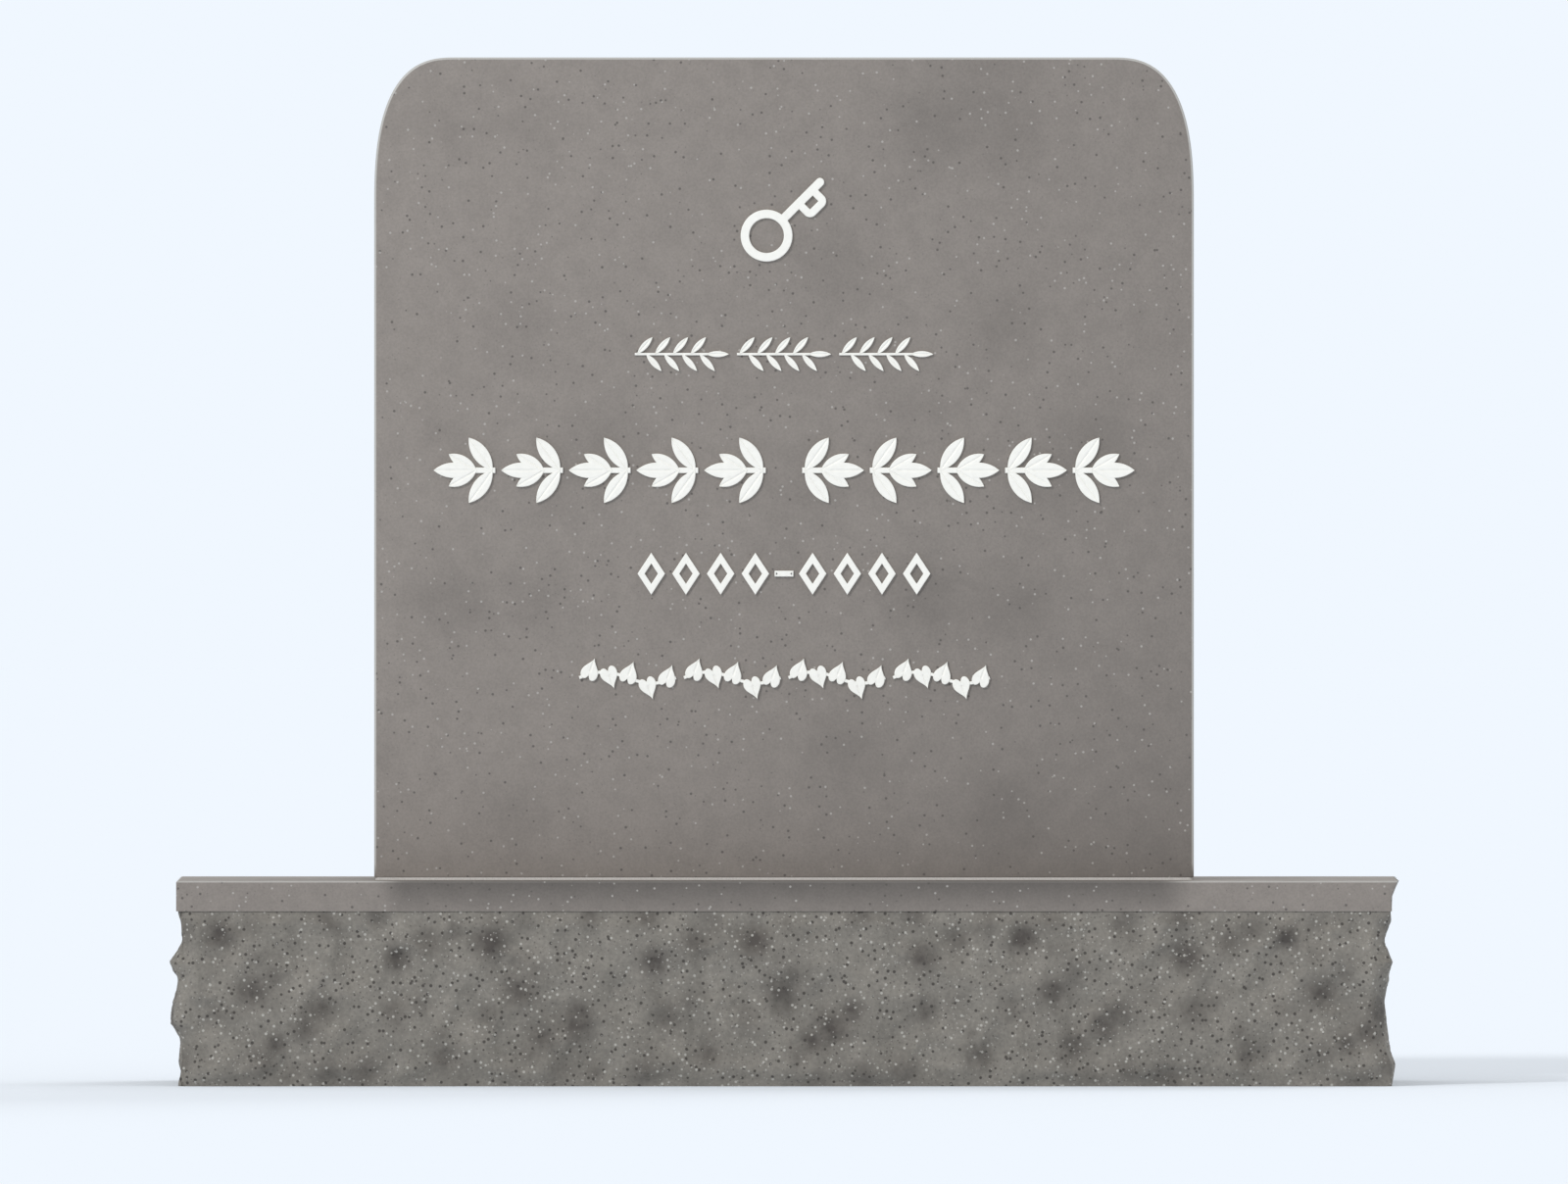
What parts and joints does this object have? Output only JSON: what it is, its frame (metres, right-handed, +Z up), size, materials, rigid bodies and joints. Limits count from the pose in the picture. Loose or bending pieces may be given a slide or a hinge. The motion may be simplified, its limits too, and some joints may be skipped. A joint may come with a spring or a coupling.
{
  "type": "headstone",
  "caption": "Upright granite headstone: polished tablet with rounded shoulders and raised plain ornament, on a rock-pitched base with a polished margin.",
  "frame": {"origin": "middle of the base's underside, on the ground", "axes": "+X to the right of someone facing the tablet's front, +Y towards its back, so the front faces -Y, +Z up"},
  "size_m": [0.9144, 0.3048, 0.764],
  "materials": {
    "rock_granite": "matte",
    "polished_granite": "satin",
    "setting_compound": "matte",
    "raised_enamel": "satin"
  },
  "bodies": {
    "root": {"base": "rock_granite", "setting_bed": "setting_compound", "tablet": "polished_granite", "key": "raised_enamel", "sprig_left": "raised_enamel", "sprig_middle": "raised_enamel", "sprig_right": "raised_enamel", "laurel_1": "raised_enamel", "laurel_2": "raised_enamel", "laurel_3": "raised_enamel", "laurel_4": "raised_enamel", "laurel_5": "raised_enamel", "laurel_6": "raised_enamel", "laurel_7": "raised_enamel", "laurel_8": "raised_enamel", "laurel_9": "raised_enamel", "laurel_10": "raised_enamel", "lozenge_1": "raised_enamel", "lozenge_2": "raised_enamel", "lozenge_3": "raised_enamel", "lozenge_4": "raised_enamel", "lozenge_5": "raised_enamel", "lozenge_6": "raised_enamel", "lozenge_7": "raised_enamel", "lozenge_8": "raised_enamel", "centre_bar": "raised_enamel", "ivy_1": "raised_enamel", "ivy_2": "raised_enamel", "ivy_3": "raised_enamel", "ivy_4": "raised_enamel"}
  },
  "joints": []
}
